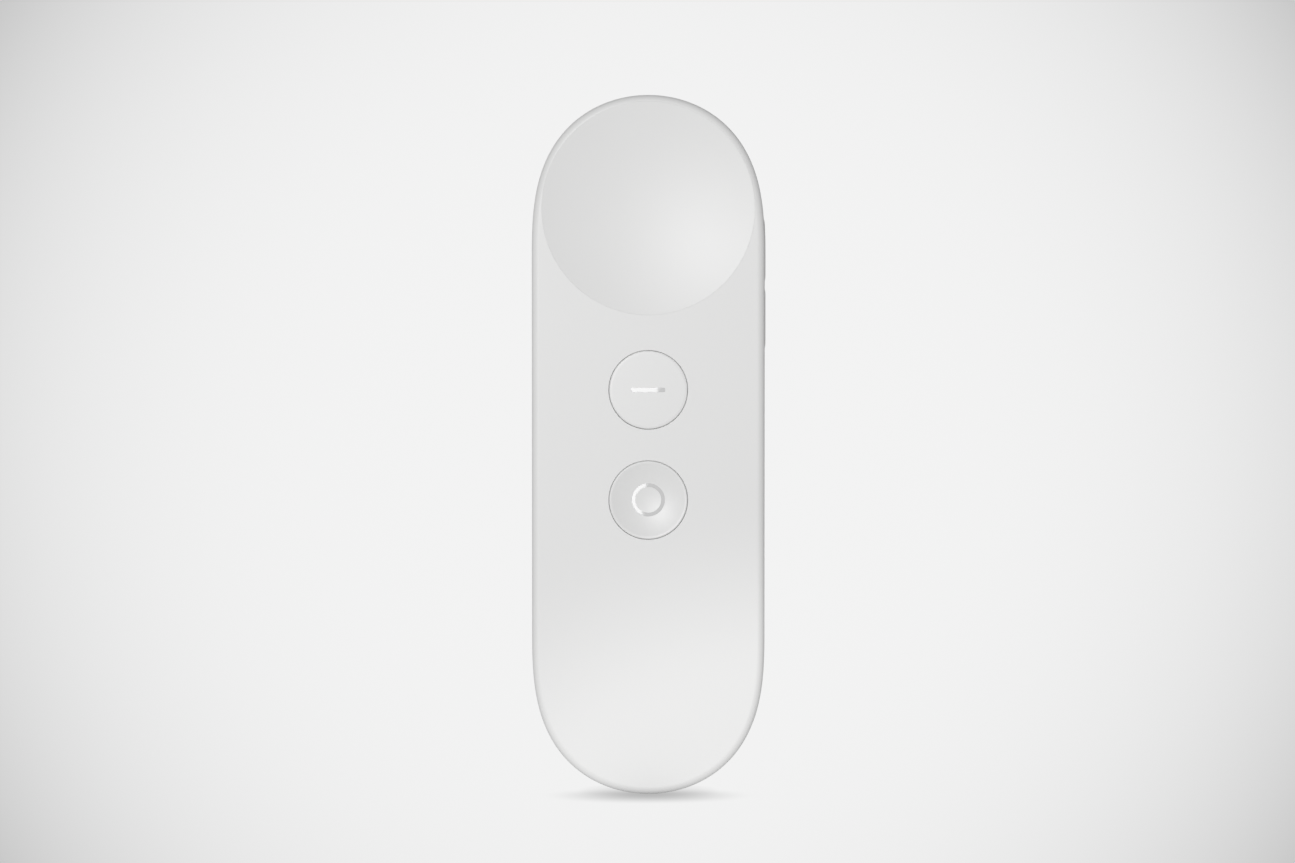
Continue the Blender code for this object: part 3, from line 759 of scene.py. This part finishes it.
# ---- Battery ----
# A pouch cell in crinkled aluminium laminate lies in the tray on a foam pad. Its two leads, red and
# black, go up to a cream plug in a socket on the board.
crinkle_group, crinkle_in, crinkle_out = texture_group(
    "crinkles", [("Vector", "NodeSocketVector", None), ("Size", "NodeSocketFloat", 300.0)],
    [("Height", "NodeSocketFloat"), ("Shade", "NodeSocketFloat")])
nodes, links = crinkle_group.nodes, crinkle_group.links
folds = nodes.new("ShaderNodeTexVoronoi")
folds.feature = "SMOOTH_F1"
ripples = nodes.new("ShaderNodeTexNoise")
ripples.inputs["Detail"].default_value = 5.0
for texture in (folds, ripples):
    links.new(crinkle_in.outputs["Vector"], texture.inputs["Vector"])
    links.new(crinkle_in.outputs["Size"], texture.inputs["Scale"])
links.new(folds.outputs["Distance"], crinkle_out.inputs["Height"])
links.new(ripples.outputs["Fac"], crinkle_out.inputs["Shade"])

cell_foil = finish("cell_foil", crinkle_group, {"Size": 260.0}, (0.50, 0.51, 0.53),
                   (0.66, 0.67, 0.69), (0.26, 0.42), 0.08 * MM, Metallic=0.8)
open_foam = finish("open_foam", crinkle_group, {"Size": 2600.0}, (0.015, 0.015, 0.015),
                   (0.050, 0.050, 0.050), (0.85, 1.00), 0.15 * MM)
plug_plastic = finish("plug_plastic", grain_group, {"Grain": 5000.0, "Drift": 500.0},
                      (0.66, 0.63, 0.54), (0.74, 0.71, 0.62), (0.40, 0.52), 0.002 * MM)
dress("battery_cell", cell_foil)
dress("battery_foam", open_foam)
dress("battery_socket", plug_plastic)
dress("battery_plug", plug_plastic)
for colour, dark, light in (("red", (0.38, 0.012, 0.010), (0.50, 0.022, 0.018)),
                            ("black", (0.008, 0.008, 0.009), (0.020, 0.020, 0.022))):
    dress(f"battery_lead_{colour}", finish(f"{colour}_insulation", grain_group,
                                           {"Grain": 4000.0, "Drift": 700.0}, dark, light,
                                           (0.34, 0.48), 0.002 * MM))


# ---- Camera ----
# The controller stands upright and is seen square on to its button face, from slightly above,
# through a long lens. The view spans 195 mm across the button face, and the middle of the
# controller lies a little below and to the right of the middle of the view.
VIEW_SPAN = 0.19485
VIEW_RISE = math.radians(2.5)
LENS = 150.0
SENSOR = 36.0
AIM = Vector((-0.00012, FACE_Y, 0.00214))

camera_data = bpy.data.cameras.new("view")
camera_data.lens = LENS
camera_data.sensor_width = SENSOR
camera = bpy.data.objects.new("view", camera_data)
scene.collection.objects.link(camera)
scene.camera = camera
view_distance = VIEW_SPAN * LENS / SENSOR
camera.location = AIM + view_distance * Vector((0, -math.cos(VIEW_RISE), math.sin(VIEW_RISE)))
camera.rotation_euler = (math.radians(90) - VIEW_RISE, 0, 0)
scene.view_settings.view_transform = "Standard"


# ---- Studio ----
# A pale floor that runs up into a round wall and a domed ceiling, well outside every view. It looks
# bright to the camera only: to the controller it is a dim room, so that the lamps below light it. A
# pool of light from the camera's place and a shadow at the controller's foot are painted on it.
FLOOR_Z = cad_box[0].z
ROOM_RADIUS = 2.2
ROOM_CURVE = 0.8
ROOM_GLOW = 0.348
FLOOR_GLOW = 0.50
WALL_TONE = 0.895
POOL_EDGE = 0.605 * VIEW_SPAN / view_distance
POOL_LOSS = 0.36
POOL_POWER = 4.6
# The contact line, the oval round the foot and the dimmed glow at the foot are painted shade.
CONTACT_DISTANCE = 0.003
CONTACT_TONE = 0.88
FOOT = (0, FACE_Y - 0.0012, FLOOR_Z)
FOOT_STRETCH = (1, 0.74, 1)
FOOT_SHADE_RADIUS = 0.0165
FOOT_SHADE_TONE = 0.57
FOOT_GLOW_RADIUS = 0.010
FOOT_GLOW_TONE = 0.60
GLOW_START = FLOOR_Z + 0.001
GLOW_END = FLOOR_Z + 0.03

profile = [(0, FLOOR_Z), (ROOM_RADIUS - ROOM_CURVE, FLOOR_Z)]
profile += [(ROOM_RADIUS - ROOM_CURVE + out, FLOOR_Z + down) for out, down in arc(ROOM_CURVE, 12)[1:]]
profile += [(ROOM_RADIUS - down, FLOOR_Z + ROOM_CURVE + out) for out, down in arc(ROOM_RADIUS, 12)[1:]]
mesh = bpy.data.meshes.new("room")
bm = spin_profile(profile, Vector((0, 0, 0)), Vector((0, 0, 1)), 64)
bmesh.ops.reverse_faces(bm, faces=bm.faces)
bm.to_mesh(mesh)
bm.free()
mesh.shade_smooth()
room = bpy.data.objects.new("room", mesh)
scene.collection.objects.link(room)

room_paint = bpy.data.materials.new("room_paint")
room_paint.use_nodes = True
nodes, links = room_paint.node_tree.nodes, room_paint.node_tree.links
nodes.clear()


# What the camera sees: a wall tone that fades toward the edge of a painted pool of light, times a
# thin painted shadow where the floor meets the controller and a soft painted oval shadow round its
# foot.
place = nodes.new("ShaderNodeTexCoord")
# The pool of light is painted: the tone fades with the angle from the camera's line of sight.
from_camera_place = nodes.new("ShaderNodeVectorMath")
from_camera_place.operation = "SUBTRACT"
from_camera_place.inputs[1].default_value = camera.location
links.new(place.outputs["Object"], from_camera_place.inputs[0])
level = nodes.new("ShaderNodeVectorRotate")
level.rotation_type = "X_AXIS"
level.inputs["Angle"].default_value = VIEW_RISE
links.new(from_camera_place.outputs[0], level.inputs["Vector"])
split = nodes.new("ShaderNodeSeparateXYZ")
links.new(level.outputs[0], split.inputs[0])
across = math_node("MULTIPLY", split.outputs["X"], split.outputs["X"])
upward = math_node("MULTIPLY", split.outputs["Z"], split.outputs["Z"])
spread = math_node("SQRT", math_node("ADD", across, upward))
slope = math_node("DIVIDE", spread, math_node("MAXIMUM", split.outputs["Y"], 0.01))
fade = math_node("POWER", math_node("DIVIDE", slope, POOL_EDGE, True), POOL_POWER)
pool = math_node("SUBTRACT", 1.0, math_node("MULTIPLY", fade, POOL_LOSS))
# A painted contact shadow: the floor's tone darkens where ambient occlusion finds the controller close.
contact = nodes.new("ShaderNodeAmbientOcclusion")
contact.samples = 16
contact.inputs["Distance"].default_value = CONTACT_DISTANCE
painted_contact_shadow = nodes.new("ShaderNodeMapRange")
painted_contact_shadow.inputs["To Min"].default_value = CONTACT_TONE
links.new(contact.outputs["AO"], painted_contact_shadow.inputs["Value"])
# A painted oval shadow round the controller's foot, centred just in front of its button face.
foot_place = nodes.new("ShaderNodeMapping")
foot_place.vector_type = "TEXTURE"
foot_place.inputs["Location"].default_value = FOOT
foot_place.inputs["Scale"].default_value = FOOT_STRETCH
links.new(place.outputs["Object"], foot_place.inputs["Vector"])
from_foot = nodes.new("ShaderNodeVectorMath")
from_foot.operation = "LENGTH"
links.new(foot_place.outputs["Vector"], from_foot.inputs[0])


def foot_tone(radius, tone):
    """A smooth rise from a painted shade tone at the foot of the controller to one at a radius round
    it.
    """
    rise = nodes.new("ShaderNodeMapRange")
    rise.interpolation_type = "SMOOTHSTEP"
    rise.inputs["From Max"].default_value = radius
    rise.inputs["To Min"].default_value = tone
    links.new(from_foot.outputs["Value"], rise.inputs["Value"])
    return rise.outputs["Result"]


shade = math_node("MULTIPLY", painted_contact_shadow.outputs["Result"],
                  foot_tone(FOOT_SHADE_RADIUS, FOOT_SHADE_TONE))
seen = nodes.new("ShaderNodeEmission")
links.new(math_node("MULTIPLY", math_node("MULTIPLY", pool, WALL_TONE), shade),
          seen.inputs["Strength"])

# What lights the controller: a floor that glows a little more than the rest of the room, less so at
# the controller's foot, where the dimming is painted shade for the floor in the controller's shadow.
height = nodes.new("ShaderNodeSeparateXYZ")
links.new(place.outputs["Object"], height.inputs[0])
glow_level = nodes.new("ShaderNodeMapRange")
glow_level.inputs["From Min"].default_value = GLOW_START
glow_level.inputs["From Max"].default_value = GLOW_END
glow_level.inputs["To Min"].default_value = FLOOR_GLOW
glow_level.inputs["To Max"].default_value = ROOM_GLOW
links.new(height.outputs["Z"], glow_level.inputs["Value"])
glow = nodes.new("ShaderNodeEmission")
links.new(math_node("MULTIPLY", glow_level.outputs["Result"],
                    foot_tone(FOOT_GLOW_RADIUS, FOOT_GLOW_TONE)), glow.inputs["Strength"])
path = nodes.new("ShaderNodeLightPath")
choose = nodes.new("ShaderNodeMixShader")
links.new(path.outputs["Is Camera Ray"], choose.inputs["Fac"])
links.new(glow.outputs[0], choose.inputs[1])
links.new(seen.outputs[0], choose.inputs[2])
output = nodes.new("ShaderNodeOutputMaterial")
links.new(choose.outputs[0], output.inputs["Surface"])
mesh.materials.append(room_paint)


# ---- Lamps ----
# Three lamps light the controller: a square soft box, a little to the left of the camera and above
# it, a narrow strip, and a spot with a snoot. The camera doesn't see any of them.
LIGHT_DISTANCE = 0.90
KEY_TURN = math.radians(-12.0)
KEY_LIFT = math.radians(9.0)
KEY_SIZE = (0.30, 0.30)
KEY_POWER = 3.90


def soft_box(name, place, aim, size, power, lean=0.0):
    """A rectangular soft box that looks at a point, turned by lean about its own axis."""
    data = bpy.data.lights.new(name, "AREA")
    data.shape = "RECTANGLE"
    data.size, data.size_y = size
    data.energy = power
    lamp = bpy.data.objects.new(name, data)
    scene.collection.objects.link(lamp)
    lamp.location = place
    facing = (Vector(aim) - Vector(place)).to_track_quat("-Z", "Y").to_matrix()
    lamp.rotation_euler = (facing @ Matrix.Rotation(lean, 3, "Z")).to_euler()
    lamp.visible_camera = False
    return lamp


face_middle = Vector((0, FACE_Y, 0))
key_place = face_middle + LIGHT_DISTANCE * Vector((
    math.sin(KEY_TURN) * math.cos(KEY_LIFT), -math.cos(KEY_TURN) * math.cos(KEY_LIFT),
    math.sin(KEY_LIFT)))
soft_box("key", key_place, face_middle, KEY_SIZE, KEY_POWER)

# The strip hangs between the lens and the controller. It leans, and one of its long edges is where
# the polished button marks turn from bright to dark.
STRIP_LEAN = math.radians(7.0)
STRIP_SIZE = (0.009, 0.040)
STRIP_EDGE = Vector((0.00268, FACE_Y - 0.68, -0.0163))
STRIP_DROP = 0.016
STRIP_POWER = 0.0025
strip_shift = Matrix.Rotation(STRIP_LEAN, 3, "Y") @ Vector((-STRIP_SIZE[0] / 2, 0, -STRIP_DROP))
strip_place = STRIP_EDGE + strip_shift
soft_box("strip", strip_place, strip_place + Vector((0, 1, 0)), STRIP_SIZE, STRIP_POWER, -STRIP_LEAN)

# The spot brightens the lower end of the face, and fades out across it.
SPOT_PLACE = Vector((0.05, FACE_Y - LIGHT_DISTANCE, 0))
SPOT_AIM = Vector((0.022, FACE_Y, -0.083))
SPOT_RADIUS = 0.068
SPOT_POWER = 4.17
spot_data = bpy.data.lights.new("lower_spot", "SPOT")
spot_data.energy = SPOT_POWER
spot_data.shadow_soft_size = 0.012
spot_data.spot_blend = 0.35
spot_data.spot_size = 2 * math.atan(SPOT_RADIUS / LIGHT_DISTANCE)
spot = bpy.data.objects.new("lower_spot", spot_data)
scene.collection.objects.link(spot)
spot.location = SPOT_PLACE
spot.rotation_euler = (SPOT_AIM - SPOT_PLACE).to_track_quat("-Z", "Y").to_euler()
spot.visible_camera = False
